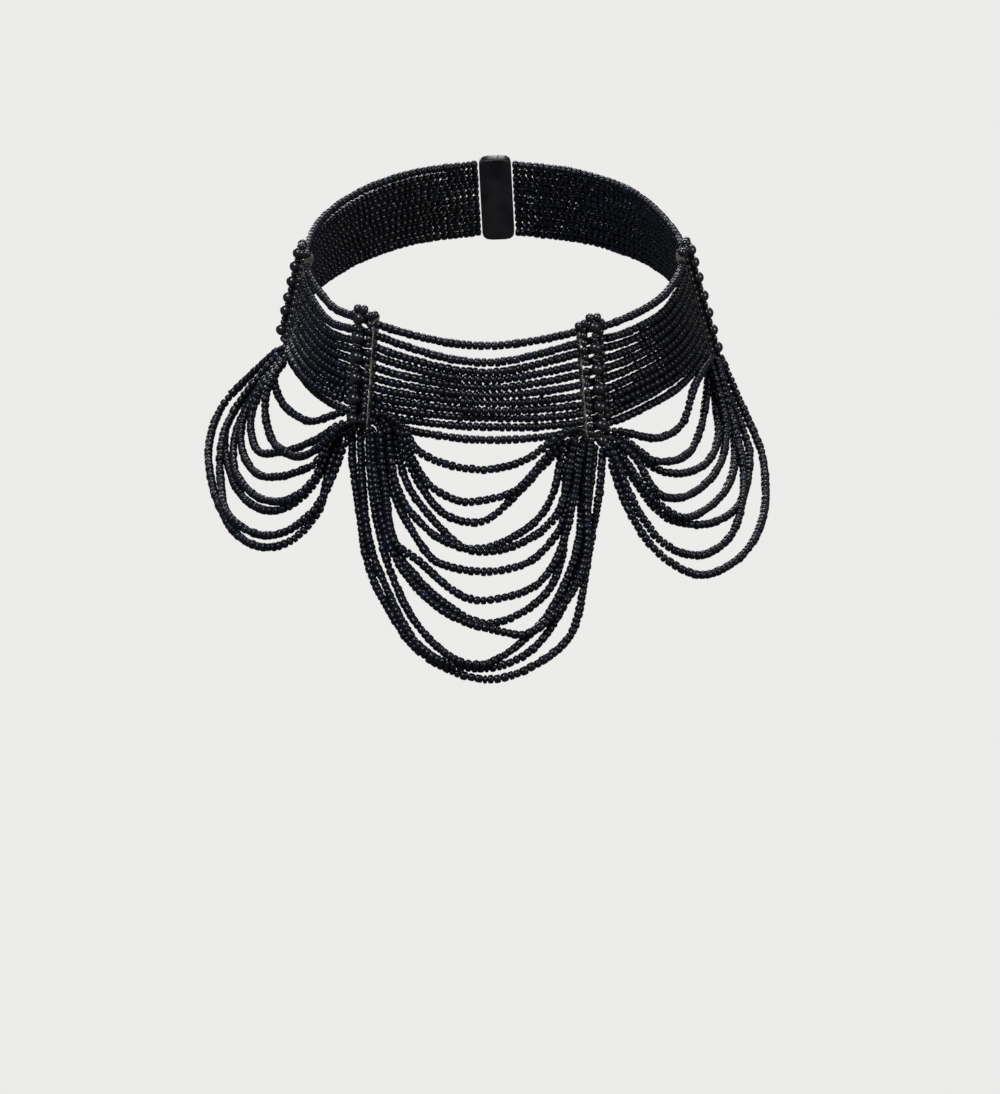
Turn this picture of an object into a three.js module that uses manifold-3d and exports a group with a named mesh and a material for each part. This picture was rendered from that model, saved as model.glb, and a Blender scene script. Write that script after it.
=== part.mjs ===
// Beaded choker with hanging swags, in millimetres, +X to the right, +Z up, its front facing -Y.
// Eleven strings of small beads lie round the neck between four drilled spacer bars and one clasp.
// Swags of the same beads hang from the lower ends of the bars. The origin is on the neck's axis,
// level with the top string. Every string is laid over those already laid, and rests on them.

import * as THREE from 'three';
import { mergeVertices } from 'three/addons/utils/BufferGeometryUtils.js';
import Module from 'manifold-3d';

const wasm = await Module();
wasm.setup();

// Collar: the band of strings, on a cone that opens downwards and leans forwards
const NECK_RADIUS = 58;
const FLARE = 0.24;
const COLLAR_LEAN = 30.3;
const TOP_SHIFT = -1;
const SHIFT_PER_DROP = 0.04;

// Chest and shoulders that the swags lie on
const CHEST_TOP = -57;
const CHEST_OUT = 39.8;
const CHEST_SLOPE = 0.45;
const SHOULDER_LEVEL = -53;
const SHOULDER_CURVE = 0.0074;
const SHOULDER_FADE = 80;

// Strings and thread
const STRING_RADIUS = 1.05;
const STRING_SIDES = 8;
const LAY_DISTANCE = 2.45;
const LAY_SLOPE = 0.45;
const LAY_STEP = 1.2;
const LAY_ROUNDS = 6;
const CHORD_ERROR = 0.45;
const LONGEST_STEP = 12;
const FRONT_STEP = 13;
const BACK_STEP = 20;
const THREAD_RADIUS = 0.35;
const THREAD_SIDES = 4;
const THREAD_GRIP = 1;
const GAP = 0.4;

// Spacer bars, their holes and the round beads beside them
const BAR_THICKNESS = 0.8;
const BAR_INSIDE = 1.5;
const BAR_OUTSIDE = 2;
const BAR_TOP = -3.8;
const BAR_BOTTOM = 31.5;
const BAR_CORNER = 1.2;
const HOLE_RADIUS = 0.9;
const ROUND_RADIUS = 1.85;
const ROUND_SIDES = 10;
const ROUND_ARCS = 4;
const ROUND_ASIDE = 4.3;
const ROUND_CORE = 0.6;
const ROUND_SPACE = 0.25;
const ROUND_LIFT = THREAD_RADIUS + ROUND_SPACE + ROUND_RADIUS;
const ROUND_CLEAR = ROUND_ASIDE + ROUND_RADIUS + GAP;

// Clasp at the nape
const CLASP_WIDTH = 10;
const CLASP_THICKNESS = 2.6;
const CLASP_TOP = -2.5;
const CLASP_BOTTOM = 30;
const CLASP_CORNER = 3;
const CLASP_ANGLE = 180;
const CLASP_PITCH = 2.75;

// Each bar's degrees round the collar from the front, at its top and at its bottom, which way the
// round beads lie from it, and the distance down the collar of each round bead
const BARS = [
  { name: 'left_side', top: -83.5, bottom: -84, aside: -1, beads: [-1.3, 3.3, 8.6, 14.2, 18.8, 25.5] },
  { name: 'left_front', top: -38.8, bottom: -37.4, aside: -1, beads: [-2, 4, 10, 16.5, 23, 29.5] },
  { name: 'right_front', top: 26.1, bottom: 24, aside: 1, beads: [-3, 3.5, 10, 16, 21.5, 27, 32] },
  { name: 'right_side', top: 84, bottom: 81, aside: 1, beads: [-2.2, 1.8, 6.8, 12.8, 18.4, 24, 29.7] },
];

// Angles round the collar at which the strings' drops below the top ring are given
const STATIONS = [-180, -83.5, -62, -38, -4, 25, 50, 82, 180];

// How far down the collar each string lies at the left side bar, left span, left front bar, middle,
// right front bar, right span and right side bar. At the clasp they lie evenly.
const COLLAR = [
  { drops: [0.3, 1.5, -0.8, -0.3, -1.8, -0.3, -0.3] },
  { drops: [5.3, 6.5, 2.7, 4.9, 1.8, 4.2, 3] },
  { drops: [8.6, 9.6, 6.3, 7.9, 4.8, 6.8, 5.8] },
  { drops: [11.2, 12.2, 9.2, 10.1, 8.2, 9.4, 8.6] },
  { drops: [13.8, 14.6, 12.6, 12.4, 11.3, 12, 11.4] },
  { drops: [16.4, 16.8, 15.8, 14.5, 14.5, 14.7, 14.2] },
  { drops: [19, 18.9, 18.7, 16.8, 17.7, 17.4, 17] },
  { drops: [21.6, 21, 21.4, 19, 20.5, 19.9, 19.8] },
  { drops: [24.2, 22.9, 24, 21.8, 23.1, 22.2, 22.4] },
  { drops: [26.8, 24.5, 26.5, 24.6, 25.7, 24.6, 25] },
  { drops: [30.3, 30, 29, 28.6, 28.3, 27.8, 27.6] },
];

// Swags as seen from the front, [x, z] from the left root to the right one, in the order they are laid.
// Strings laid early have roots a string's width apart, and later ones lie in the hollows between them.
const FRONT_SWAGS = [
  { name: '12', path: [[-44.5, -54], [-44.5, -62], [-42, -81], [-39, -97], [-33.5, -108], [-26.5, -119],
    [-15, -127], [-2.5, -130], [10.5, -126], [22, -116.5], [25.5, -104], [28, -89], [30.5, -76],
    [32, -60]] },
  { name: '11', path: [[-42, -54.5], [-41.2, -72], [-38.5, -90.5], [-33.5, -103], [-27.5, -115],
    [-23, -120.5], [-14.5, -125.5], [-2, -126.5], [9, -122], [17.5, -112], [22.5, -100.5], [26, -86],
    [28, -72], [29.5, -59]] },
  { name: '10', path: [[-39.5, -55], [-38.5, -71], [-35.5, -88], [-31, -101.5], [-24.5, -113.5],
    [-14.5, -123], [-5, -125.5], [7.5, -118.5], [16, -109], [21.5, -98], [24.5, -88], [25.5, -72],
    [27, -58.5]] },
  { name: '08', path: [[-37, -55], [-35.7, -70], [-31, -90], [-27.5, -96], [-15.5, -107.5], [-4.5, -113],
    [5, -111], [14.5, -104], [19, -95], [20.5, -81], [20.5, -70], [22, -57]] },
  { name: '06', path: [[-34.5, -54], [-33.2, -65], [-31, -76], [-24, -88], [-19.5, -94], [-5, -97.5],
    [9.5, -94.5], [15, -89.5], [19, -84], [22.5, -72], [24.5, -57.5]] },
  { name: '04', path: [[-32, -53.5], [-31, -60], [-28.5, -68], [-26, -74], [-15, -86.5], [-11, -90],
    [-5, -90.5], [4.5, -87], [13, -80.5], [17.5, -71.5], [19.5, -57.5]] },
  { name: '09', path: [[-38.2, -55], [-37, -72], [-31.5, -92.5], [-24, -103], [-13, -111.5], [-1, -115],
    [8, -116.5], [18, -109.5], [24.5, -99.5], [27, -90], [27, -72], [28.2, -58.5]] },
  { name: '07', path: [[-35.8, -54.5], [-34.5, -70], [-31, -89], [-26, -92.5], [-16, -101.5],
    [-7.5, -106], [9, -103], [15, -98], [20, -88], [23.5, -72], [25.8, -58]] },
  { name: '05', path: [[-33.2, -53.5], [-32.2, -65], [-29.5, -75], [-20.5, -85.5], [-14.5, -89],
    [-3, -91.5], [9.5, -87.5], [18, -80], [21, -70], [23.2, -57]] },
  { name: '03', path: [[-30.5, -54], [-28.5, -61.5], [-24, -70.5], [-17, -79.5], [-9, -82.5], [-4, -82],
    [3.5, -76], [12.5, -66.5], [18, -60.5], [21, -58]] },
  { name: '02', path: [[-29, -54.5], [-27, -61], [-22, -70], [-12, -76], [-2.5, -75.5], [6.5, -72],
    [13, -64.5], [18.5, -57.5]] },
  { name: '01', path: [[-28.5, -53.5], [-25.5, -59.5], [-19.5, -63.5], [-4, -66.5], [9.5, -63],
    [15.5, -58.5], [21, -54.5]] },
];

const LEFT_SWAGS = [
  { name: '06', path: [[-67, -31], [-77.5, -42.5], [-84, -54], [-83.5, -63], [-78, -75], [-69, -79],
    [-60, -75], [-54, -67], [-48.2, -56]] },
  { name: '05', path: [[-66.8, -32], [-75.5, -43], [-81, -56.5], [-80.5, -67], [-74, -74.5], [-66, -76],
    [-57, -70.5], [-52.5, -60.5], [-49.5, -55.5]] },
  { name: '08', path: [[-67.8, -29], [-76.5, -37], [-85, -46], [-89, -57], [-88, -70], [-81, -85],
    [-72.5, -90], [-63, -88], [-54.5, -78.5], [-51.5, -66.5], [-48.5, -57.5]] },
  { name: '07', path: [[-67.4, -30.5], [-79.5, -45], [-85, -57], [-85, -71], [-83, -79.5], [-75.5, -85.5],
    [-66.5, -86], [-56, -78.5], [-49, -64.5], [-46.8, -57.5]] },
  { name: '04', path: [[-66.4, -32], [-73.5, -41], [-78.5, -50.5], [-78.5, -61], [-73, -68], [-64.5, -68],
    [-56, -64.5], [-51.5, -58.5], [-49, -54.5]] },
  { name: '03', path: [[-66, -33.2], [-72, -40.5], [-75.7, -48.5], [-76, -55], [-73, -61], [-64.5, -60.3],
    [-58.5, -58.6], [-52.7, -55.6], [-48.8, -52.5]] },
  { name: '01', path: [[-65.8, -32.5], [-68.3, -35.5], [-68.8, -39.5], [-65.7, -46.5], [-61.5, -50],
    [-57, -51.5], [-52.8, -50.6], [-48.5, -49]] },
  { name: '02', path: [[-66, -33.5], [-70.5, -40.5], [-71.5, -49], [-68.3, -58.5], [-61, -62.5],
    [-55.5, -60], [-51.5, -56.5], [-48.8, -53.5]] },
];

const RIGHT_SWAGS = [
  { name: '06', path: [[35.5, -59.5], [39, -65.5], [43, -72], [51.5, -81], [63.5, -83], [73, -78],
    [77, -67], [77, -59], [72.5, -47], [66.8, -33.5]] },
  { name: '03', path: [[36.2, -56.8], [39.5, -59.5], [44, -63.2], [49, -66.5], [56, -67.5], [63.5, -64.5],
    [67.5, -57], [67, -47], [65.3, -34.5]] },
  { name: '05', path: [[35.5, -58.5], [38.5, -63], [46, -74], [50.5, -78], [57, -81], [65.5, -77],
    [71.5, -69], [72.5, -57], [70.5, -46], [66.2, -34]] },
  { name: '08', path: [[34, -61], [35.5, -67.5], [40.5, -80], [49, -92], [62, -98.5], [75, -92],
    [81.5, -79], [81, -61], [75, -46.5], [68.3, -31]] },
  { name: '07', path: [[34.8, -60.5], [38.5, -70], [44.5, -82], [52, -90], [62, -92.5], [71, -86.5],
    [75, -74], [74.5, -60.5], [71.5, -48.5], [67.6, -32.2]] },
  { name: '02', path: [[36.5, -56], [40, -58], [43.5, -61.5], [49, -64], [57.5, -62], [62, -54],
    [64, -44], [65, -35]] },
  { name: '04', path: [[36, -57.5], [39.5, -60.5], [43, -64.5], [45.5, -69.5], [50, -74.5], [57.5, -74.5],
    [67, -66.5], [70, -57], [69, -46], [65.6, -34.5]] },
  { name: '01', path: [[36.5, -54.5], [39.5, -55.2], [47.5, -56.8], [55.5, -53.5], [58.5, -46], [61, -39],
    [64.8, -33]] },
];

const FINISHES = {
  beads: { color: 0x171a21, roughness: 0.32, metalness: 0 },
  roundBeads: { color: 0x121214, roughness: 0.18, metalness: 0 },
  metal: { color: 0x6f6f72, roughness: 0.4, metalness: 1 },
};

const radians = THREE.MathUtils.degToRad;
const leanSin = Math.sin(radians(COLLAR_LEAN));
const leanCos = Math.cos(radians(COLLAR_LEAN));

// A point of the collar, angle degrees round from the front, drop down the cone and out from it
function collarPoint(angle, drop, out = 0) {
  const reach = NECK_RADIUS + FLARE * drop + out;
  const across = reach * Math.sin(radians(angle)) + TOP_SHIFT + SHIFT_PER_DROP * drop;
  const forward = -reach * Math.cos(radians(angle));
  return new THREE.Vector3(across, forward * leanCos + drop * leanSin, forward * leanSin - drop * leanCos);
}

// The direction straight out from the collar
function collarOut(angle) {
  return collarPoint(angle, 0, 1).sub(collarPoint(angle, 0, 0));
}

// A bar's angle at a drop down the collar
function barAngle(bar, drop) {
  return THREE.MathUtils.mapLinear(drop, 0, BAR_BOTTOM, bar.top, bar.bottom);
}

// A bar's own axes: along it downwards, straight out from the neck, and round the neck
function barFrame(bar, top, bottom) {
  const first = collarPoint(barAngle(bar, top), top);
  const last = collarPoint(barAngle(bar, bottom), bottom);
  const down = last.clone().sub(first).normalize();
  const out = collarOut(barAngle(bar, (top + bottom) / 2));
  const round = new THREE.Vector3().crossVectors(down, out).normalize();
  out.crossVectors(round, down);
  const matrix = new THREE.Matrix4().makeBasis(out, down, new THREE.Vector3().crossVectors(out, down));
  return matrix.setPosition(first);
}

// The drop of a collar string at an angle, eased from each station to the next
function stringDrop(row, index, angle) {
  const even = index * CLASP_PITCH;
  const drops = [even, ...row.drops, even];
  const next = Math.max(1, STATIONS.findIndex((station) => station >= angle));
  const part = THREE.MathUtils.smoothstep(angle, STATIONS[next - 1], STATIONS[next]);
  return THREE.MathUtils.lerp(drops[next - 1], drops[next], part);
}

// The chest's distance in front of the neck's axis
function chestPoint(x, z) {
  const curve = SHOULDER_CURVE * Math.exp((z - SHOULDER_LEVEL) / SHOULDER_FADE);
  return new THREE.Vector3(x, -(CHEST_OUT + CHEST_SLOPE * (CHEST_TOP - z)) + curve * x * x, z);
}

const laid = [];

// How far a point has to move along a direction to clear all that is laid
function liftOver(point, direction) {
  let lift = 0;
  for (const other of laid) {
    const across = other.clone().sub(point);
    const ahead = across.dot(direction);
    const besideSquared = across.lengthSq() - ahead * ahead;
    const room = LAY_DISTANCE * LAY_DISTANCE - besideSquared;
    if (room > 0) lift = Math.max(lift, ahead + Math.sqrt(room));
  }
  return lift;
}

// Lays a string over the ones before it, and returns its points
function layString(points, directions) {
  const raw = points.map((point, i) => liftOver(point, directions[i]));
  const fall = LAY_SLOPE * LAY_STEP;
  let lifts = raw.map((_, i) => Math.max(...raw.map((lift, j) => lift - fall * Math.abs(i - j))));
  for (let round = 0; round < LAY_ROUNDS; round += 1) {
    lifts = lifts.map((lift, i) => {
      const before = lifts[Math.max(0, i - 1)];
      const after = lifts[Math.min(lifts.length - 1, i + 1)];
      return Math.max(raw[i], (before + 2 * lift + after) / 4);
    });
  }
  const placed = points.map((point, i) => point.clone().addScaledVector(directions[i], lifts[i]));
  laid.push(...placed);
  return placed;
}

// A path that passes through chosen points in straight stretches
class StationPath extends THREE.Curve {
  constructor(points) {
    super();
    this.points = points;
  }

  getPoint(t) {
    const at = THREE.MathUtils.clamp(t, 0, 1) * (this.points.length - 1);
    const index = Math.min(Math.floor(at), this.points.length - 2);
    return new THREE.Vector3().lerpVectors(this.points[index], this.points[index + 1], at - index);
  }

  getPointAt(t) {
    return this.getPoint(t);
  }

  getTangentAt(t) {
    return this.getTangent(t);
  }
}

// Keeps the fewest points whose straight stretches stay near the string
function thinned(points) {
  const kept = [points[0]];
  let start = 0;
  for (let end = 2; end < points.length; end += 1) {
    const chord = new THREE.Line3(points[start], points[end]);
    const off = points.slice(start + 1, end).map((point) => {
      return chord.closestPointToPoint(point, true, new THREE.Vector3()).distanceTo(point);
    });
    if (Math.max(...off) > CHORD_ERROR || chord.distance() > LONGEST_STEP) {
      start = end - 1;
      kept.push(points[start]);
    }
  }
  return [...kept, points[points.length - 1]];
}

function ring(radius, sides) {
  const corners = Array.from({ length: sides }, (_, i) => {
    const turn = (2 * Math.PI * i) / sides;
    return new THREE.Vector2(radius * Math.cos(turn), radius * Math.sin(turn));
  });
  return new THREE.Shape(corners);
}

// A tube of straight stretches along chosen points
function tube(points, radius = STRING_RADIUS, sides = STRING_SIDES) {
  return new THREE.ExtrudeGeometry(ring(radius, sides), {
    extrudePath: new StationPath(points),
    steps: points.length - 1,
    bevelEnabled: false,
  });
}

// Turns a closed geometry into a solid that can be joined and cut
function solid(geometry) {
  const bare = geometry.clone();
  bare.deleteAttribute('normal');
  bare.deleteAttribute('uv');
  const merged = mergeVertices(bare);
  return new wasm.Manifold(new wasm.Mesh({
    numProp: 3,
    vertProperties: new Float32Array(merged.attributes.position.array),
    triVerts: new Uint32Array(merged.index.array),
  }));
}

function geometryOf(body) {
  const mesh = body.getMesh();
  const geometry = new THREE.BufferGeometry();
  geometry.setAttribute('position', new THREE.BufferAttribute(mesh.vertProperties, 3));
  geometry.setIndex(new THREE.BufferAttribute(mesh.triVerts, 1));
  geometry.computeVertexNormals();
  return geometry;
}

function piece(name, geometry, finish) {
  const mesh = new THREE.Mesh(geometry, new THREE.MeshStandardMaterial(finish));
  mesh.name = name;
  return mesh;
}

// The stretches of a collar string between the clasp and the bars, each with its angles and steps.
// Beads stop short of a bar's plate on one side, and of its round beads on the other.
function stretches(row, index) {
  const perDegree = radians(NECK_RADIUS + FLARE * index * CLASP_PITCH);
  const claspHalf = (CLASP_WIDTH / 2 + GAP) / perDegree;
  const stops = BARS.map((bar) => {
    const at = barAngle(bar, stringDrop(row, index, bar.top));
    const plateSide = (BAR_THICKNESS / 2 + GAP) / perDegree;
    const beadSide = ROUND_CLEAR / perDegree;
    const [before, after] = bar.aside < 0 ? [beadSide, plateSide] : [plateSide, beadSide];
    return { before: at - before, after: at + after };
  });
  const starts = [-CLASP_ANGLE + claspHalf, ...stops.map((stop) => stop.after)];
  const ends = [...stops.map((stop) => stop.before), CLASP_ANGLE - claspHalf];
  return starts.map((start, i) => {
    const step = i === 0 || i === BARS.length ? BACK_STEP : FRONT_STEP;
    return { start, end: ends[i], steps: Math.round((ends[i] - start) / step) };
  });
}

// A collar string: runs of beads joined by bare thread where it passes through the bars
function collarString(row, index) {
  const spans = stretches(row, index);
  const first = spans[0].start;
  const last = spans[spans.length - 1].end;
  const reach = NECK_RADIUS + FLARE * index * CLASP_PITCH;
  const count = Math.round(radians(last - first) * reach / LAY_STEP);
  const angles = Array.from({ length: count + 1 }, (_, i) => THREE.MathUtils.lerp(first, last, i / count));
  const rest = angles.map((angle) => collarPoint(angle, stringDrop(row, index, angle)));
  const path = new THREE.CatmullRomCurve3(layString(rest, angles.map(collarOut)));
  const at = (angle) => path.getPoint((angle - first) / (last - first));
  let body = null;
  let tail = null;
  for (const { start, end, steps } of spans) {
    const turns = Array.from({ length: steps + 1 }, (_, i) => THREE.MathUtils.lerp(start, end, i / steps));
    const run = turns.map(at);
    const beads = solid(tube(run));
    if (body) {
      const along = run[0].clone().sub(tail).normalize().multiplyScalar(THREAD_GRIP);
      const thread = [tail.clone().sub(along), run[0].clone().add(along)];
      body = body.add(solid(tube(thread, THREAD_RADIUS, THREAD_SIDES))).add(beads);
    } else {
      body = beads;
    }
    tail = run[run.length - 1];
  }
  return piece(`collar_string_${String(index + 1).padStart(2, '0')}`, geometryOf(body), FINISHES.beads);
}

// A swag: a string that hangs on the chest between the lower ends of two bars
function swag(side, row) {
  const front = new THREE.Vector3(0, -1, 0);
  const chart = new THREE.CatmullRomCurve3(row.path.map(([x, z]) => new THREE.Vector3(x, 0, z)));
  const count = Math.round(chart.getLength() / LAY_STEP);
  const rest = chart.getSpacedPoints(count).map((point) => chestPoint(point.x, point.z));
  const points = layString(rest, rest.map(() => front));
  return piece(`${side}_swag_${row.name}`, tube(thinned(points)), FINISHES.beads);
}

// A flat plate with round corners, from a top to a bottom drop, standing in a bar's axes
function plate(inside, outside, height, thickness, corner) {
  const outline = new THREE.Shape();
  outline.moveTo(-inside + corner, 0);
  outline.lineTo(outside - corner, 0);
  outline.quadraticCurveTo(outside, 0, outside, corner);
  outline.lineTo(outside, height - corner);
  outline.quadraticCurveTo(outside, height, outside - corner, height);
  outline.lineTo(-inside + corner, height);
  outline.quadraticCurveTo(-inside, height, -inside, height - corner);
  outline.lineTo(-inside, corner);
  outline.quadraticCurveTo(-inside, 0, -inside + corner, 0);
  const settings = { depth: thickness, curveSegments: 3, bevelEnabled: false };
  const geometry = new THREE.ExtrudeGeometry(outline, settings);
  return geometry.translate(0, 0, -thickness / 2);
}

function standIn(mesh, frame) {
  frame.decompose(mesh.position, mesh.quaternion, mesh.scale);
  return mesh;
}

// A spacer bar: a thin metal plate on edge, drilled for the eleven threads
function spacerBar(bar) {
  const frame = barFrame(bar, BAR_TOP, BAR_BOTTOM);
  const inverse = frame.clone().invert();
  const height = collarPoint(barAngle(bar, BAR_BOTTOM), BAR_BOTTOM).applyMatrix4(inverse).y;
  let body = solid(plate(BAR_INSIDE, BAR_OUTSIDE, height, BAR_THICKNESS, BAR_CORNER));
  COLLAR.forEach((row, index) => {
    const drop = stringDrop(row, index, bar.top);
    const centre = collarPoint(barAngle(bar, drop), drop).applyMatrix4(inverse);
    const hole = new THREE.CylinderGeometry(HOLE_RADIUS, HOLE_RADIUS, 3 * BAR_THICKNESS, THREAD_SIDES);
    hole.rotateX(Math.PI / 2).translate(centre.x, centre.y, 0);
    body = body.subtract(solid(hole));
  });
  return standIn(piece(`${bar.name}_bar`, geometryOf(body), FINISHES.metal), frame);
}

// The round beads beside a bar, turned as one body with the thread between them
function beadColumn(bar) {
  const frame = barFrame(bar, BAR_TOP, BAR_BOTTOM);
  const inverse = frame.clone().invert();
  const round = new THREE.Vector3().setFromMatrixColumn(frame, 2);
  const ahead = collarPoint(bar.top + 1, 0).sub(collarPoint(bar.top, 0));
  const aside = Math.sign(round.dot(ahead)) * bar.aside * ROUND_ASIDE;
  const mouth = Math.asin(ROUND_CORE / ROUND_RADIUS);
  const profile = bar.beads.flatMap((drop) => {
    const height = collarPoint(barAngle(bar, drop), drop).applyMatrix4(inverse).y;
    return Array.from({ length: ROUND_ARCS + 1 }, (_, i) => {
      const turn = THREE.MathUtils.lerp(mouth, Math.PI - mouth, i / ROUND_ARCS);
      return new THREE.Vector2(ROUND_RADIUS * Math.sin(turn), height - ROUND_RADIUS * Math.cos(turn));
    });
  });
  const first = new THREE.Vector2(0, profile[0].y);
  const last = new THREE.Vector2(0, profile[profile.length - 1].y);
  const turned = new THREE.LatheGeometry([first, ...profile, last], ROUND_SIDES);
  turned.translate(ROUND_LIFT, 0, aside);
  return standIn(piece(`${bar.name}_round_beads`, turned, FINISHES.roundBeads), frame);
}

// The clasp: one plain rounded plate at the nape, lying flat on the collar
function clasp() {
  const nape = { top: CLASP_ANGLE, bottom: CLASP_ANGLE };
  const frame = barFrame(nape, CLASP_TOP, CLASP_BOTTOM);
  const height = collarPoint(CLASP_ANGLE, CLASP_BOTTOM).applyMatrix4(frame.clone().invert()).y;
  const half = CLASP_WIDTH / 2;
  const geometry = plate(half, half, height, CLASP_THICKNESS, CLASP_CORNER);
  return standIn(piece('clasp', geometry.rotateY(Math.PI / 2), FINISHES.metal), frame);
}

const group = new THREE.Group();
COLLAR.forEach((row, index) => group.add(collarString(row, index)));
FRONT_SWAGS.forEach((row) => group.add(swag('front', row)));
LEFT_SWAGS.forEach((row) => group.add(swag('left', row)));
RIGHT_SWAGS.forEach((row) => group.add(swag('right', row)));
BARS.forEach((bar) => group.add(spacerBar(bar), beadColumn(bar)));
group.add(clasp());

export default group;
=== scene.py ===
"""Looks of the beaded choker with hanging swags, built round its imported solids.

Each string of beads takes its line from the solid that it replaces, and each spacer bar and column of
round beads takes its axes from its own solids. Everything is in metres, in the frame of the solids.
"""

import logging
import math
from collections.abc import Callable, Iterable
from dataclasses import dataclass, field
from enum import Enum

import bmesh
import bpy
import numpy as np
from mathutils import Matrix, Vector


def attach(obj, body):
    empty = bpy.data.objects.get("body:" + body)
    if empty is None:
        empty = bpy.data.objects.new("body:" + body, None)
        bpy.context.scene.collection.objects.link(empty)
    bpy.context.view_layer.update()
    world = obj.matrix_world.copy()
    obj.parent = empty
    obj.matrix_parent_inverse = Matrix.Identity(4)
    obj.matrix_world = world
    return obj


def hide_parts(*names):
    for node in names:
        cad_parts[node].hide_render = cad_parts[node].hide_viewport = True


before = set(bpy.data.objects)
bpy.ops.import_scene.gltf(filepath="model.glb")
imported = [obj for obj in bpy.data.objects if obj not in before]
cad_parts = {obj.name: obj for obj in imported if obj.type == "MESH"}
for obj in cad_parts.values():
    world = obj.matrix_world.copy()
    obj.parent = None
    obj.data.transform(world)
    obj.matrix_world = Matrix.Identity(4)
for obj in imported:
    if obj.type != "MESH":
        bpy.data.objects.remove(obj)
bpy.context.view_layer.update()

LOG = logging.getLogger("choker")
MM = 0.001
SAME_PLACE = 2e-6
SMOOTH_ANGLE = 48
BODY = "root"
TONE = "tone"
FLATNESS = 0.93
Colour = tuple[float, float, float, float]
Array = np.ndarray


class Slot(Enum):
    """Names of material slots."""

    SEED_BEADS = "seed_beads"
    ROUND_BEADS = "round_beads"
    BAR_METAL = "bar_metal"
    CLASP_METAL = "clasp_metal"
    THREAD = "thread"


class Kind(Enum):
    """The kinds of bead that are modelled once and copied."""

    SHORT = "short"
    BARREL = "barrel"
    CUT = "cut"
    SMALL_ROUND = "small_round"
    ROUND = "round"


class Part(Enum):
    """What is picked in edit mode: its selection mode, and the mesh's list of it."""

    FACES = ("FACE", "faces")
    EDGES = ("EDGE", "edges")
    CORNERS = ("VERT", "verts")


# Shader expressions


class Signal:
    """A shader socket that takes part in Python expressions; each operation adds its Math node."""

    def __init__(self, sheet: "NodeSheet", socket: bpy.types.NodeSocket) -> None:
        """Wraps a socket of a sheet's node."""
        self.sheet = sheet
        self.socket = socket

    def _math(self, operation: str, first: "Signal | float", second: "Signal | float") -> "Signal":
        """Adds a Math node and gives its result."""
        return self.sheet.node("ShaderNodeMath", {"operation": operation}, {0: first, 1: second})[0]

    def __add__(self, other: "Signal | float") -> "Signal":
        """Adds another value."""
        return self._math("ADD", self, other)

    def __radd__(self, other: float) -> "Signal":
        """Adds to a number."""
        return self._math("ADD", other, self)

    def __mul__(self, other: "Signal | float") -> "Signal":
        """Multiplies by another value."""
        return self._math("MULTIPLY", self, other)

    def __rmul__(self, other: float) -> "Signal":
        """Multiplies a number."""
        return self._math("MULTIPLY", other, self)


class Made:
    """A new shader node, whose outputs are read as signals."""

    def __init__(self, sheet: "NodeSheet", node: bpy.types.Node) -> None:
        """Wraps a node of a sheet."""
        self.sheet = sheet
        self.node = node

    def __getitem__(self, output: str | int) -> Signal:
        """The output with that name or number."""
        return Signal(self.sheet, self.node.outputs[output])


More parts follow.
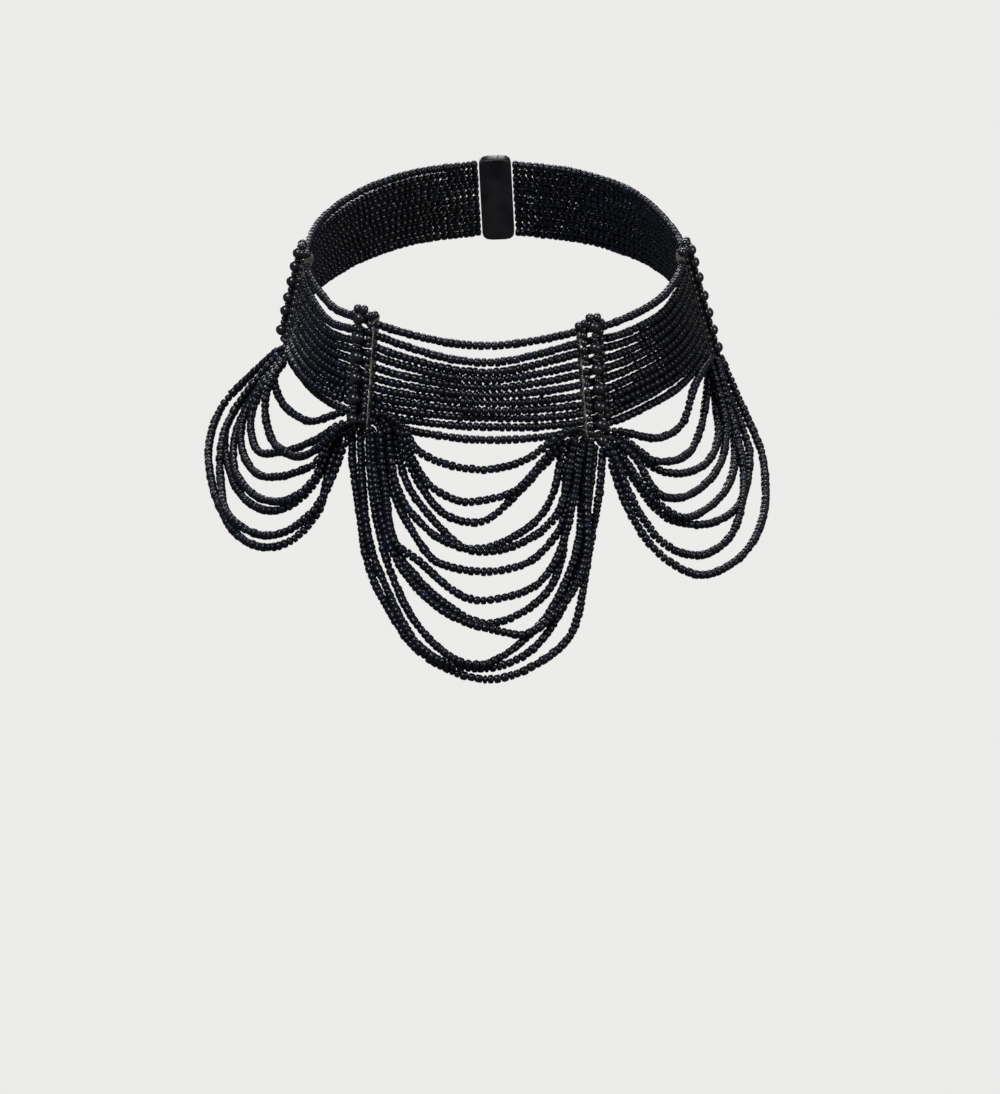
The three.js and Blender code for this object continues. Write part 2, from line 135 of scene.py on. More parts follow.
class NodeSheet:
    """The node tree of one material or of the world."""

    def __init__(self, owner: bpy.types.Material | bpy.types.World) -> None:
        """Starts an empty tree."""
        self.owner = owner
        owner.use_nodes = True
        self.tree = owner.node_tree
        self.tree.nodes.clear()

    @classmethod
    def material(cls, name: str) -> "NodeSheet":
        """Starts a new material of that name."""
        return cls(bpy.data.materials.new(name))

    def node(self, kind: str, settings: dict | None = None, sockets: dict | None = None) -> Made:
        """Adds a node.

        Args:
            kind: the node's type.
            settings: its properties, which are set first; stops are a ramp's positions and colours.
            sockets: values or signals for its inputs, by name or number.

        Returns:
            The node, ready to be read.
        """
        made = self.tree.nodes.new(kind)
        for name, value in (settings or {}).items():
            if name == "stops":
                self._stops(made.color_ramp, value)
            else:
                setattr(made, name, value)
        for key, value in (sockets or {}).items():
            if isinstance(value, Signal):
                self.tree.links.new(value.socket, made.inputs[key])
            else:
                made.inputs[key].default_value = value
        return Made(self, made)

    @staticmethod
    def _stops(ramp: bpy.types.ColorRamp, stops: Iterable[tuple[float, Colour]]) -> None:
        """Gives a ramp its positions and colours."""
        rows = list(stops)
        while len(ramp.elements) < len(rows):
            ramp.elements.new(1)
        for element, (position, colour) in zip(ramp.elements, rows):
            element.position = position
            element.color = colour

    def place(self) -> Signal:
        """The point of the piece, in its own coordinates."""
        return self.node("ShaderNodeTexCoord")["Object"]

    def tone(self) -> Signal:
        """The lightness that each bead was given."""
        return self.node("ShaderNodeAttribute", {"attribute_name": TONE})["Fac"]

    def noise(self, scale: float, detail: float = 2.0, rough: float = 0.5) -> Signal:
        """Cloudy noise over the piece, from nought to one."""
        sockets = {"Vector": self.place(), "Scale": scale, "Detail": detail, "Roughness": rough}
        return self.node("ShaderNodeTexNoise", {}, sockets)[0]

    def span(self, signal: Signal, low: float, high: float, to_low: float, to_high: float) -> Signal:
        """Carries a value from one range to another, held at both ends."""
        sockets = {0: signal, 1: low, 2: high, 3: to_low, 4: to_high}
        return self.node("ShaderNodeMapRange", {"clamp": True}, sockets)[0]

    def mix(self, share: Signal | float, first: Signal | Colour, second: Signal | Colour) -> Signal:
        """Mixes two colours."""
        sockets = {0: share, 6: first, 7: second}
        return self.node("ShaderNodeMix", {"data_type": "RGBA"}, sockets)[2]

    def bump(self, height: Signal, strength: float, distance: float) -> Signal:
        """A surface normal that follows a height."""
        sockets = {"Height": height, "Strength": strength, "Distance": distance}
        return self.node("ShaderNodeBump", {}, sockets)["Normal"]

    def finish(self, sockets: dict) -> bpy.types.Material:
        """Ends the sheet with its surface shader.

        Args:
            sockets: values or signals for the shader's inputs.

        Returns:
            The finished material.
        """
        shader = self.node("ShaderNodeBsdfPrincipled", {}, sockets)["BSDF"]
        self.node("ShaderNodeOutputMaterial", {}, {"Surface": shader})
        return self.owner


# Finishes


@dataclass(frozen=True)
class SeedGlass:
    """Satin near-black glass of the small beads, with a few paler and a few worn ones."""

    deep: Colour = (0.0026, 0.0032, 0.0062, 1)
    usual: Colour = (0.0044, 0.0062, 0.0135, 1)
    pale: Colour = (0.013, 0.019, 0.040, 1)
    dust: Colour = (0.020, 0.023, 0.034, 1)

    def material(self) -> bpy.types.Material:
        """Makes the material."""
        sheet = NodeSheet.material("seed_glass")
        tone = sheet.tone()
        stops = [(0.0, self.deep), (0.55, self.usual), (0.86, self.usual), (1.0, self.pale)]
        body = sheet.node("ShaderNodeValToRGB", {"stops": stops}, {0: tone})[0]
        film = sheet.span(sheet.noise(1500, 4, 0.62), 0.54, 0.8, 0.0, 0.3)
        worn = sheet.noise(2600, 3, 0.6)
        rough = sheet.span(tone, 0.0, 1.0, 0.36, 0.22) + sheet.span(worn, 0.3, 0.7, -0.05, 0.10)
        height = sheet.noise(700, 2) + sheet.noise(3800, 2) * 0.25
        return sheet.finish({
            "Base Color": sheet.mix(film, body, self.dust),
            "Roughness": rough,
            "Normal": sheet.bump(height, 0.5, 0.00012),
            "IOR": 1.5,
        })


@dataclass(frozen=True)
class RoundGlass:
    """Glossy black glass of the round beads, browner in thin patches; the brown is partly tint of the glass
    and partly a painted stand-in for warm reflected glints.
    """

    deep: Colour = (0.012, 0.0145, 0.022, 1)
    brown_glint: Colour = (0.019, 0.0165, 0.015, 1)
    dust: Colour = (0.060, 0.062, 0.066, 1)

    def material(self) -> bpy.types.Material:
        """Makes the material."""
        sheet = NodeSheet.material("round_glass")
        # Brown patches: partly tint of the glass, partly a painted reflection of warm glints.
        brown_glint_patch = sheet.span(sheet.noise(420, 3), 0.45, 0.72, 0.0, 0.8)
        film = sheet.span(sheet.noise(1900, 4, 0.65), 0.6, 0.82, 0.0, 0.2)
        body = sheet.mix(brown_glint_patch, self.deep, self.brown_glint)
        scuffs = sheet.span(sheet.noise(1400, 4, 0.7), 0.35, 0.75, 0.22, 0.36)
        height = sheet.noise(380, 2) + sheet.noise(2400, 2) * 0.12
        return sheet.finish({
            "Base Color": sheet.mix(film, body, self.dust),
            "Roughness": scuffs,
            "Normal": sheet.bump(height, 0.35, 0.00015),
            "IOR": 1.75,
        })


@dataclass(frozen=True)
class WornMetal:
    """Dull grey metal of the spacer bars, warmer in places and dark where it is tarnished."""

    bare: Colour = (0.56, 0.53, 0.47, 1)
    warm: Colour = (0.60, 0.52, 0.40, 1)
    tarnish: Colour = (0.045, 0.043, 0.040, 1)

    def material(self) -> bpy.types.Material:
        """Makes the material."""
        sheet = NodeSheet.material("worn_metal")
        warmth = sheet.span(sheet.noise(90, 2), 0.5, 0.7, 0.0, 1.0)
        spots = sheet.span(sheet.noise(330, 4, 0.62), 0.5, 0.62, 0.0, 1.0)
        clean = sheet.mix(warmth, self.bare, self.warm)
        height = sheet.noise(1300, 4, 0.6)
        return sheet.finish({
            "Base Color": sheet.mix(spots, clean, self.tarnish),
            "Roughness": sheet.span(spots, 0.0, 1.0, 0.42, 0.75),
            "Metallic": sheet.span(spots, 0.0, 1.0, 0.6, 0.3),
            "Normal": sheet.bump(height, 0.5, 0.0001),
        })


@dataclass(frozen=True)
class SatinMetal:
    """Brushed steel of the clasp, with fine lines round the neck and smudges."""

    light: Colour = (0.12, 0.12, 0.125, 1)
    dark: Colour = (0.06, 0.06, 0.065, 1)
    grain: tuple[float, float, float] = (300.0, 300.0, 9000.0)

    def material(self) -> bpy.types.Material:
        """Makes the material."""
        sheet = NodeSheet.material("satin_metal")
        stretched = sheet.node("ShaderNodeMapping", {}, {"Vector": sheet.place(), "Scale": self.grain})[0]
        lines = sheet.node("ShaderNodeTexNoise", {}, {"Vector": stretched, "Scale": 1.0, "Detail": 3.0})[0]
        smudge = sheet.noise(160, 3)
        return sheet.finish({
            "Base Color": sheet.mix(sheet.span(smudge, 0.35, 0.7, 0.0, 1.0), self.light, self.dark),
            "Roughness": sheet.span(lines, 0.3, 0.7, 0.28, 0.45),
            "Metallic": 1.0,
            "Normal": sheet.bump(lines, 0.25, 0.00006),
        })


@dataclass(frozen=True)
class BlackThread:
    """Waxed black thread with a faint twist."""

    deep: Colour = (0.008, 0.008, 0.009, 1)
    pale: Colour = (0.035, 0.034, 0.034, 1)

    def material(self) -> bpy.types.Material:
        """Makes the material."""
        sheet = NodeSheet.material("black_thread")
        fibres = sheet.noise(5200, 4, 0.7)
        return sheet.finish({
            "Base Color": sheet.mix(sheet.span(fibres, 0.4, 0.75, 0.0, 1.0), self.deep, self.pale),
            "Roughness": sheet.span(fibres, 0.3, 0.7, 0.6, 0.85),
            "Normal": sheet.bump(fibres, 0.6, 0.00008),
        })


@dataclass(frozen=True)
class PaleFloor:
    """Plain pale floor that glows as evenly as the backdrop."""

    light: Colour = (0.84, 0.835, 0.825, 1)
    dark: Colour = (0.82, 0.815, 0.805, 1)
    base: Colour = (0.02, 0.02, 0.02, 1)

    def material(self) -> bpy.types.Material:
        """Makes the material."""
        sheet = NodeSheet.material("pale_floor")
        return sheet.finish({
            "Base Color": self.base,
            "Roughness": 0.9,
            "Emission Color": sheet.mix(sheet.noise(3), self.light, self.dark),
            "Emission Strength": 1.0,
        })


class Finishes:
    """Every finish, made once."""

    def __init__(self) -> None:
        """Makes the materials."""
        self.seed = SeedGlass().material()
        self.round = RoundGlass().material()
        self.bar = WornMetal().material()
        self.clasp = SatinMetal().material()
        self.thread = BlackThread().material()
        self.floor = PaleFloor().material()


# Modelling by hand


def clear_selection() -> None:
    """Deselects every object, outside edit mode."""
    if bpy.context.object and bpy.context.object.mode != "OBJECT":
        bpy.ops.object.mode_set(mode="OBJECT")
    bpy.ops.object.select_all(action="DESELECT")


def take(piece: bpy.types.Object) -> None:
    """Selects one object alone and makes it the active one."""
    clear_selection()
    piece.select_set(True)
    bpy.context.view_layer.objects.active = piece


def pick(piece: bpy.types.Object, part: Part, wanted: Callable[..., bool]) -> None:
    """Selects the faces, edges or corners of the piece in edit mode that are wanted, and no others."""
    mode, members = part.value
    bpy.ops.mesh.select_mode(type=mode)
    bpy.ops.mesh.select_all(action="DESELECT")
    shape = bmesh.from_edit_mesh(piece.data)
    for member in getattr(shape, members):
        member.select_set(wanted(member))
    bmesh.update_edit_mesh(piece.data)


def close_up(piece: bpy.types.Object) -> None:
    """Merges doubles, turns the faces outwards and leaves edit mode."""
    bpy.ops.mesh.select_all(action="SELECT")
    bpy.ops.mesh.remove_doubles(threshold=1e-6)
    bpy.ops.mesh.normals_make_consistent(inside=False)
    bpy.ops.object.mode_set(mode="OBJECT")
    piece.select_set(False)


def settle(
    piece: bpy.types.Object,
    material: bpy.types.Material,
    nodes: Iterable[str] = (),
) -> None:
    """Gives a finished piece its finish and body, and hides the solids that it stands for.

    Args:
        piece: the finished object, with its place in its mesh.
        material: its finish.
        nodes: the solids that it replaces.
    """
    piece.data.materials.clear()
    piece.data.materials.append(material)
    take(piece)
    bpy.ops.object.shade_smooth_by_angle(angle=math.radians(SMOOTH_ANGLE))
    piece.select_set(False)
    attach(piece, BODY)
    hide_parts(*nodes)
    triangles = sum(len(face.vertices) - 2 for face in piece.data.polygons)
    LOG.info("%s: %d triangles", piece.name, triangles)


# Beads that are modelled once


@dataclass
class Template:
    """The corners and faces of a bead, its axis along Z, one in radius and one in half length."""

    corners: Array
    faces: list[tuple[int, ...]]

    @classmethod
    def of(cls, piece: bpy.types.Object) -> "Template":
        """Takes a modelled bead's mesh and removes the object."""
        corners = np.array([vertex.co for vertex in piece.data.vertices])
        faces = [tuple(face.vertices) for face in piece.data.polygons]
        mesh = piece.data
        bpy.data.objects.remove(piece)
        bpy.data.meshes.remove(mesh)
        return cls(corners, faces)


@dataclass(frozen=True)
class SeedForm:
    """A short drilled bead: how much its shoulders are rounded, and in how many steps."""

    shoulder: float
    steps: int
    sides: int = 10
    hole: float = 0.3

    def model(self) -> Template:
        """Models the bead from a cylinder."""
        clear_selection()
        bpy.ops.mesh.primitive_cylinder_add(vertices=self.sides, radius=1, depth=2, end_fill_type="NGON")
        bead = bpy.context.object
        bpy.ops.object.mode_set(mode="EDIT")
        pick(bead, Part.EDGES, lambda edge: abs(edge.verts[0].co.z - edge.verts[1].co.z) < 0.1)
        bpy.ops.mesh.bevel(offset=self.shoulder, segments=self.steps, profile=0.5, affect="EDGES")
        pick(bead, Part.FACES, lambda face: abs(face.normal.z) > 0.99)
        apothem = (1 - self.shoulder) * math.cos(math.pi / self.sides)
        bpy.ops.mesh.inset(thickness=apothem - self.hole, depth=0, use_individual=True)
        bpy.ops.mesh.bridge_edge_loops()
        close_up(bead)
        return Template.of(bead)


@dataclass(frozen=True)
class RoundForm:
    """A round drilled bead: its sides, its rings and how wide its hole is."""

    sides: int
    rings: int
    flatten: float = 1.0

    def model(self) -> Template:
        """Models the bead from a sphere."""
        clear_selection()
        bpy.ops.mesh.primitive_uv_sphere_add(segments=self.sides, ring_count=self.rings, radius=1)
        bead = bpy.context.object
        bpy.ops.object.mode_set(mode="EDIT")
        pick(bead, Part.CORNERS, lambda vertex: abs(vertex.co.z) > 0.999)
        bpy.ops.mesh.delete(type="VERT")
        pick(bead, Part.EDGES, lambda edge: len(edge.link_faces) == 1)
        bpy.ops.mesh.bridge_edge_loops()
        bpy.ops.mesh.select_all(action="SELECT")
        bpy.ops.transform.resize(value=(1, 1, self.flatten))
        close_up(bead)
        return Template.of(bead)


FORMS = {
    Kind.SHORT: SeedForm(shoulder=0.5, steps=2),
    Kind.BARREL: SeedForm(shoulder=0.62, steps=2),
    Kind.CUT: SeedForm(shoulder=0.34, steps=2),
    Kind.SMALL_ROUND: RoundForm(sides=12, rings=8),
    Kind.ROUND: RoundForm(sides=28, rings=18, flatten=0.97),
}


@dataclass
class Bead:
    """One bead: its middle, the way of its hole, its radius and half length, and its own looks."""

    centre: Array
    axis: Array
    radius: float
    half: float
    kind: Kind
    roll: float = 0.0
    tone: float = 0.5
    squash: float = 1.0


def unit(vector: Array) -> Array:
    """The vector at a length of one."""
    return vector / np.linalg.norm(vector)


class BeadTray:
    """The modelled beads, and the making of pieces from copies of them."""

    def __init__(self) -> None:
        """Models each kind of bead."""
        self.templates = {kind: form.model() for kind, form in FORMS.items()}

    @staticmethod
    def _turned(bead: Bead) -> Array:
        """The matrix that takes a template to a bead, without its place."""
        axis = unit(bead.axis)
        helper = np.array([0.0, 0.0, 1.0]) if abs(axis[2]) < 0.9 else np.array([1.0, 0.0, 0.0])
        side = unit(np.cross(axis, helper))
        up = np.cross(axis, side)
        turn = math.cos(bead.roll), math.sin(bead.roll)
        across = side * turn[0] + up * turn[1]
        other = up * turn[0] - side * turn[1]
        return np.column_stack([
            across * bead.radius * bead.squash,
            other * bead.radius / bead.squash,
            axis * bead.half,
        ])

    def joined(self, name: str, beads: list[Bead]) -> bpy.types.Object:
        """Joins copies of the modelled beads into one new piece.

        Args:
            name: the piece's name.
            beads: the beads to be copied.

        Returns:
            The new object.
        """
        corners, faces, tones = [], [], []
        start = 0
        for bead in beads:
            template = self.templates[bead.kind]
            corners.append(template.corners @ self._turned(bead).T + bead.centre)
            faces += [tuple(start + corner for corner in face) for face in template.faces]
            tones.append(np.full(len(template.corners), bead.tone))
            start += len(template.corners)
        mesh = bpy.data.meshes.new(name)
        mesh.from_pydata(np.concatenate(corners), [], faces)
        attribute = mesh.attributes.new(TONE, "FLOAT", "POINT")
        attribute.data.foreach_set("value", np.concatenate(tones).astype(np.float32))
        piece = bpy.data.objects.new(name, mesh)
        bpy.context.scene.collection.objects.link(piece)
        return piece


# Lines and axes read from the solids


class Solid:
    """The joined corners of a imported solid, with what each is joined to. The solid itself is left alone."""

    def __init__(self, name: str) -> None:
        """Reads a solid."""
        shape = bmesh.new()
        shape.from_mesh(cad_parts[name].data)
        bmesh.ops.remove_doubles(shape, verts=shape.verts, dist=SAME_PLACE)
        shape.verts.index_update()
        shape.faces.index_update()
        self.points = np.array([vertex.co for vertex in shape.verts])
        self.next_to = [
            [edge.other_vert(vertex).index for edge in vertex.link_edges]
            for vertex in shape.verts
        ]
        self.triangles = [[vertex.index for vertex in face.verts] for face in shape.faces]
        self.normals = np.array([face.normal for face in shape.faces])
        self.areas = np.array([face.calc_area() for face in shape.faces])
        self.beside = [
            [other.index for edge in face.edges for other in edge.link_faces if other is not face]
            for face in shape.faces
        ]
        shape.free()

    def flats(self) -> list[set[int]]:
        """The corners of each flat stretch of the surface."""
        seen: set[int] = set()
        found = []
        for first in range(len(self.triangles)):
            if first in seen:
                continue
            group, waiting = {first}, [first]
            while waiting:
                face = waiting.pop()
                for other in self.beside[face]:
                    if other not in group and self.normals[first] @ self.normals[other] > 0.9999:
                        group.add(other)
                        waiting.append(other)
            seen |= group
            found.append({corner for face in group for corner in self.triangles[face]})
        return found

    def broadest(self) -> Array:
        """The direction that most of the surface faces, one way or the other."""
        alike = np.abs(self.normals @ self.normals.T) > 0.999
        return self.normals[(alike @ self.areas).argmax()]

    def end(self, widest: float) -> set[int]:
        """The corners of one end of a tube, which is a flat eight-sided face."""
        for corners in self.flats():
            spots = self.points[sorted(corners)]
            reach = np.linalg.norm(spots - spots.mean(axis=0), axis=1)
            if len(corners) == 8 and reach.max() < widest and reach.min() > 0.8 * widest:
                return corners
        raise ValueError("this solid has no flat end")

    def middle_points(self, widest: float = 1.12 * MM, nearest: float = 0.35 * MM) -> Array:
        """The middle of each ring of corners, from one end of a tube to the other.

        Args:
            widest: the largest distance of an end's corners from its middle.
            nearest: rings closer than this to the one before are left out.

        Returns:
            The middles, in order.
        """
        ring = self.end(widest)
        seen = set(ring)
        middles = []
        while ring:
            middle = self.points[sorted(ring)].mean(axis=0)
            if not middles or np.linalg.norm(middle - middles[-1]) > nearest:
                middles.append(middle)
            ring = {other for corner in ring for other in self.next_to[corner]} - seen
            seen |= ring
        return np.array(middles)


def joined_copy(node: str, name: str) -> bpy.types.Object:
    """Copies a solid into a new piece with its corners joined, and leaves it active in edit mode.

    Args:
        node: the solid's name.
        name: the new piece's name.

    Returns:
        The new object, whose flat faces are whole again.
    """
    mesh = bpy.data.meshes.new(name)
    shape = bmesh.new()
    shape.from_mesh(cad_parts[node].data)
    bmesh.ops.remove_doubles(shape, verts=shape.verts, dist=SAME_PLACE)
    shape.to_mesh(mesh)
    shape.free()
    piece = bpy.data.objects.new(name, mesh)
    bpy.context.scene.collection.objects.link(piece)
    take(piece)
    bpy.ops.object.mode_set(mode="EDIT")
    bpy.ops.mesh.select_all(action="SELECT")
    bpy.ops.mesh.dissolve_limited(angle_limit=math.radians(1))
    return piece


def cut_across(spot: Vector, way: Vector) -> None:
    """Cuts the piece in edit mode with a plane, and keeps both sides."""
    bpy.ops.mesh.select_all(action="SELECT")
    bpy.ops.mesh.bisect(plane_co=spot, plane_no=way, threshold=1e-7)


def round_edges(piece: bpy.types.Object, width: float, steps: int, angle: float) -> None:
    """Rounds the edges of a piece that are sharper than an angle in degrees."""
    take(piece)
    bevel = piece.modifiers.new("edges", "BEVEL")
    bevel.width, bevel.segments, bevel.limit_method = width, steps, "ANGLE"
    bevel.angle_limit = math.radians(angle)
    bpy.ops.object.modifier_apply(modifier=bevel.name)


class Line:
    """A smooth line through chosen points, read by its length."""

    def __init__(self, points: Array, step: float = 0.3 * MM) -> None:
        """Makes the line and measures it.

        Args:
            points: the points it passes through.
            step: about how far apart its own fine points are.
        """
        fine = [points[:1]]
        ends = np.vstack([2 * points[0] - points[1], points, 2 * points[-1] - points[-2]])
        for before, first, second, after in zip(ends, ends[1:], ends[2:], ends[3:]):
            count = max(2, round(float(np.linalg.norm(second - first)) / step))
            fine.append(self._between(before, first, second, after, np.arange(1, count + 1) / count))
        self.points = np.concatenate(fine)
        steps = np.linalg.norm(np.diff(self.points, axis=0), axis=1)
        self.along = np.concatenate([[0.0], np.cumsum(steps)])
        self.length = float(self.along[-1])

    @staticmethod
    def _between(before: Array, first: Array, second: Array, after: Array, parts: Array) -> Array:
        """Points of a centripetal curve between two of its points."""
        pairs = ((before, first), (first, second), (second, after))
        gaps = [math.sqrt(float(np.linalg.norm(b - a))) for a, b in pairs]
        t0, t1, t2, t3 = np.cumsum([0.0, *gaps])
        t = (t1 + (t2 - t1) * parts)[:, None]
        a1 = (before * (t1 - t) + first * (t - t0)) / (t1 - t0)
        a2 = (first * (t2 - t) + second * (t - t1)) / (t2 - t1)
        a3 = (second * (t3 - t) + after * (t - t2)) / (t3 - t2)
        b1 = (a1 * (t2 - t) + a2 * (t - t0)) / (t2 - t0)
        b2 = (a2 * (t3 - t) + a3 * (t - t1)) / (t3 - t1)
        return (b1 * (t2 - t) + b2 * (t - t1)) / (t2 - t1)

    def at(self, length: float) -> Array:
        """The point at a length along the line."""
        return np.array([np.interp(length, self.along, self.points[:, i]) for i in range(3)])

    def way(self, length: float, reach: float = 0.6 * MM) -> Array:
        """The line's direction at a length along it."""
        return unit(self.at(min(length + reach, self.length)) - self.at(max(length - reach, 0.0)))


@dataclass
class BarAxes:
    """Where a spacer bar and its column of round beads are.

    down runs along the bar, out away from the neck, and aside from the bar to its round beads.
    """

    name: str
    centre: Array = field(init=False)
    down: Array = field(init=False)
    out: Array = field(init=False)
    aside: Array = field(init=False)
    top: float = field(init=False)
    bottom: float = field(init=False)
    inner: float = field(init=False)
    rounds: list[Array] = field(init=False)
    string_depth: float = 1.5 * MM

    def __post_init__(self) -> None:
        """Reads both solids."""
        column = Solid(f"{self.name}_round_beads")
        plate = Solid(f"{self.name}_bar")
        middle = column.points.mean(axis=0)
        _, _, ways = np.linalg.svd(column.points - middle)
        self.down = ways[0] if ways[0][2] < 0 else -ways[0]
        normal = plate.broadest()
        self.centre = (plate.points.max(axis=0) + plate.points.min(axis=0)) / 2
        self.aside = normal if normal @ (middle - self.centre) > 0 else -normal
        self.aside = unit(self.aside - self.down * (self.aside @ self.down))
        across = np.cross(self.down, self.aside)
        self.out = across if across @ (middle - self.centre) > 0 else -across
        heights = (plate.points - self.centre) @ self.down
        self.top, self.bottom = float(heights.min()), float(heights.max())
        self.inner = float(((plate.points - self.centre) @ self.out).min())
        self.rounds = self._equators(column.points, middle)

    def _equators(self, points: Array, middle: Array) -> list[Array]:
        """The middles of the round beads, from the top one down."""
        offsets = points - middle
        heights = offsets @ self.down
        reach = np.linalg.norm(offsets - np.outer(heights, self.down), axis=1)
        widest = sorted({round(float(height), 5) for height in heights[reach > 0.99 * reach.max()]})
        levels: list[float] = []
        for height in widest:
            if not levels or height - levels[-1] > 0.5 * MM:
                levels.append(height)
        return [middle + self.down * height for height in levels]

    def moved(self, start: Array, aside: float, down: float, out: float) -> Array:
        """The point at distances along the bar's axes from a starting point."""
        return start + self.aside * aside + self.down * down + self.out * out

    def among_strings(self) -> Array:
        """The point of the strip's middle that lies level with the strings' lines."""
        return self.centre + self.out * (self.inner + self.string_depth)


# Strings of beads


@dataclass(frozen=True)
class BeadMixture:
    """How the small beads of a string vary."""

    radius: float = 1.32 * MM
    spread: float = 0.045
    shortest: float = 1.35 * MM
    usual: float = 2.0 * MM
    longest: float = 2.75 * MM
    space: float = 0.0
    tilt: float = 0.07
    wander: float = 0.07 * MM
    round_share: float = 0.05

    def fill(self, line: Line, start: float, end: float, dice: np.random.Generator) -> list[Bead]:
        """Beads from one length along a line to another.

        Args:
            line: the line that they are strung along.
            start: where the first bead begins.
            end: where the last bead ends.
            dice: the source of chance.

        Returns:
            The beads, in order.
        """
        lengths: list[float] = []
        while sum(lengths) < end - start:
            lengths.append(float(dice.triangular(self.shortest, self.usual, self.longest)))
        if not lengths:
            return []
        fit = (end - start) / sum(lengths)
        beads = []
        at = start
        for length in lengths:
            beads.append(self.bead(line, at + length * fit / 2, length * fit - self.space, dice))
            at += length * fit
        return beads

    def bead(self, line: Line, at: float, length: float, dice: np.random.Generator) -> Bead:
        """One bead of that length, with its middle at a length along the line."""
        way = line.way(at)
        shake = dice.normal(0, 1, 3)
        shake -= way * (shake @ way)
        offset = dice.normal(0, 1, 3)
        offset -= way * (offset @ way)
        kinds = [Kind.SHORT, Kind.BARREL, Kind.CUT, Kind.SMALL_ROUND]
        shares = [0.5, 0.25, 0.25 - self.round_share, self.round_share]
        kind = kinds[int(dice.choice(len(kinds), p=shares))]
        radius = self.radius * float(np.clip(dice.normal(1, self.spread), 0.86, 1.06))
        half = length / 2
        if kind is Kind.SMALL_ROUND:
            half = min(1.1 * half, radius)
        return Bead(
            centre=line.at(at) + np.clip(offset * self.wander * 0.6, -self.wander, self.wander),
            axis=unit(way + shake * self.tilt * 0.6),
            radius=radius,
            half=half,
            kind=kind,
            roll=float(dice.uniform(0, math.tau)),
            tone=float(dice.uniform(0, 1)),
            squash=float(dice.uniform(0.97, 1.03)),
        )


@dataclass(frozen=True)
class Crossing:
    """Where a string passes through a bar.

    at is the length along the string, side is +1 where the round beads lie further along it, and rate is
    the length of string for each unit of distance from the bar.
    """

    at: float
    side: int
    rate: float


@dataclass
class CollarString:
    """One string of the collar: beads between the clasp and the bars, smaller ones beside each bar."""

    number: int
    tray: BeadTray
    finishes: Finishes
    bars: list[BarAxes]
    columns: list[Bead]
    mixture: BeadMixture = BeadMixture()
    plate_gap: float = 0.4 * MM
    clasp_gap: float = 0.1 * MM
    inner_middle: float = 1.42 * MM
    inner_radius: float = 1.05 * MM
    zone_start: float = 2.5 * MM
    outer_middle: float = 6.75 * MM
    outer_radius: float = 1.3 * MM
    zone_end: float = 8.0 * MM
    deepest: float = 1.5 * MM
    scales: tuple[float, ...] = (1.0, 0.88, 0.76, 0.64)
    clearance: float = 0.02 * MM

    def __post_init__(self) -> None:
        """Reads the string's line from its solid."""
        self.name = f"collar_string_{self.number:02d}"
        self.line = Line(Solid(self.name).middle_points())
        self.dice = np.random.default_rng(1000 + self.number)

    def crossings(self) -> list[Crossing]:
        """Where the string passes through each bar, in order along it."""
        found = []
        for bar in self.bars:
            offsets = self.line.points - bar.centre
            aside = offsets @ bar.aside
            near = np.linalg.norm(offsets, axis=1) < 30 * MM
            turns = np.nonzero((aside[:-1] * aside[1:] <= 0) & near[:-1])[0]
            here = int(turns[0])
            at = float(self.line.along[here])
            slope = float(self.line.way(at) @ bar.aside)
            found.append(Crossing(at, 1 if slope > 0 else -1, 1 / abs(slope)))
        return sorted(found, key=lambda crossing: crossing.at)

    def beside_bar(self, crossing: Crossing) -> list[Bead]:
        """The beads between a bar and the run that begins past its round beads."""
        scale = crossing.side * crossing.rate
        inner = self._small(crossing.at + scale * self.inner_middle, self.inner_radius)
        outer = self._small(crossing.at + scale * self.outer_middle, self.outer_radius)
        ends = sorted([
            crossing.at + scale * self.zone_start,
            crossing.at + scale * (self.outer_middle - self.outer_radius),
        ])
        return [inner, *self.mixture.fill(self.line, ends[0], ends[1], self.dice), outer]

    def _small(self, at: float, radius: float) -> Bead:
        """A small round bead at a length along the string."""
        bead = self.mixture.bead(self.line, at, 2 * radius, self.dice)
        bead.kind, bead.radius, bead.half = Kind.SMALL_ROUND, radius, radius * FLATNESS
        return bead

    def beads(self) -> list[Bead]:
        """Every bead of the string, pressed in, made smaller or left out where a column is in its way."""
        beads: list[Bead] = []
        start = self.clasp_gap
        for crossing in self.crossings():
            far, near = self.zone_end * crossing.rate, self.plate_gap * crossing.rate
            before, after = (near, far) if crossing.side > 0 else (far, near)
            beads += self.mixture.fill(self.line, start, crossing.at - before, self.dice)
            beads += self.beside_bar(crossing)
            start = crossing.at + after
        beads += self.mixture.fill(self.line, start, self.line.length - self.clasp_gap, self.dice)
        return [bead for bead in beads if self._fits(bead)]

    def _fits(self, bead: Bead) -> bool:
        """Presses a bead in under the column beads that lie over it, and says whether it can stay."""
        bar = min(self.bars, key=lambda axes: float(np.linalg.norm(axes.centre - bead.centre)))
        for scale in self.scales:
            depth = 0.0
            for other in self.columns:
                gap = bead.centre - other.centre
                room = other.radius + bead.radius * scale + self.clearance
                short = room * room - float(gap @ gap)
                if short > 0:
                    above = float(gap @ bar.out)
                    depth = max(depth, above + math.sqrt(above * above + short))
            if depth < self.deepest:
                bead.centre = bead.centre - bar.out * depth
                bead.radius *= scale
                return True
        return False

    def build(self) -> None:
        """Makes the string's piece."""
        piece = self.tray.joined(f"{self.name}_beads", self.beads())
        settle(piece, self.finishes.seed, [self.name])


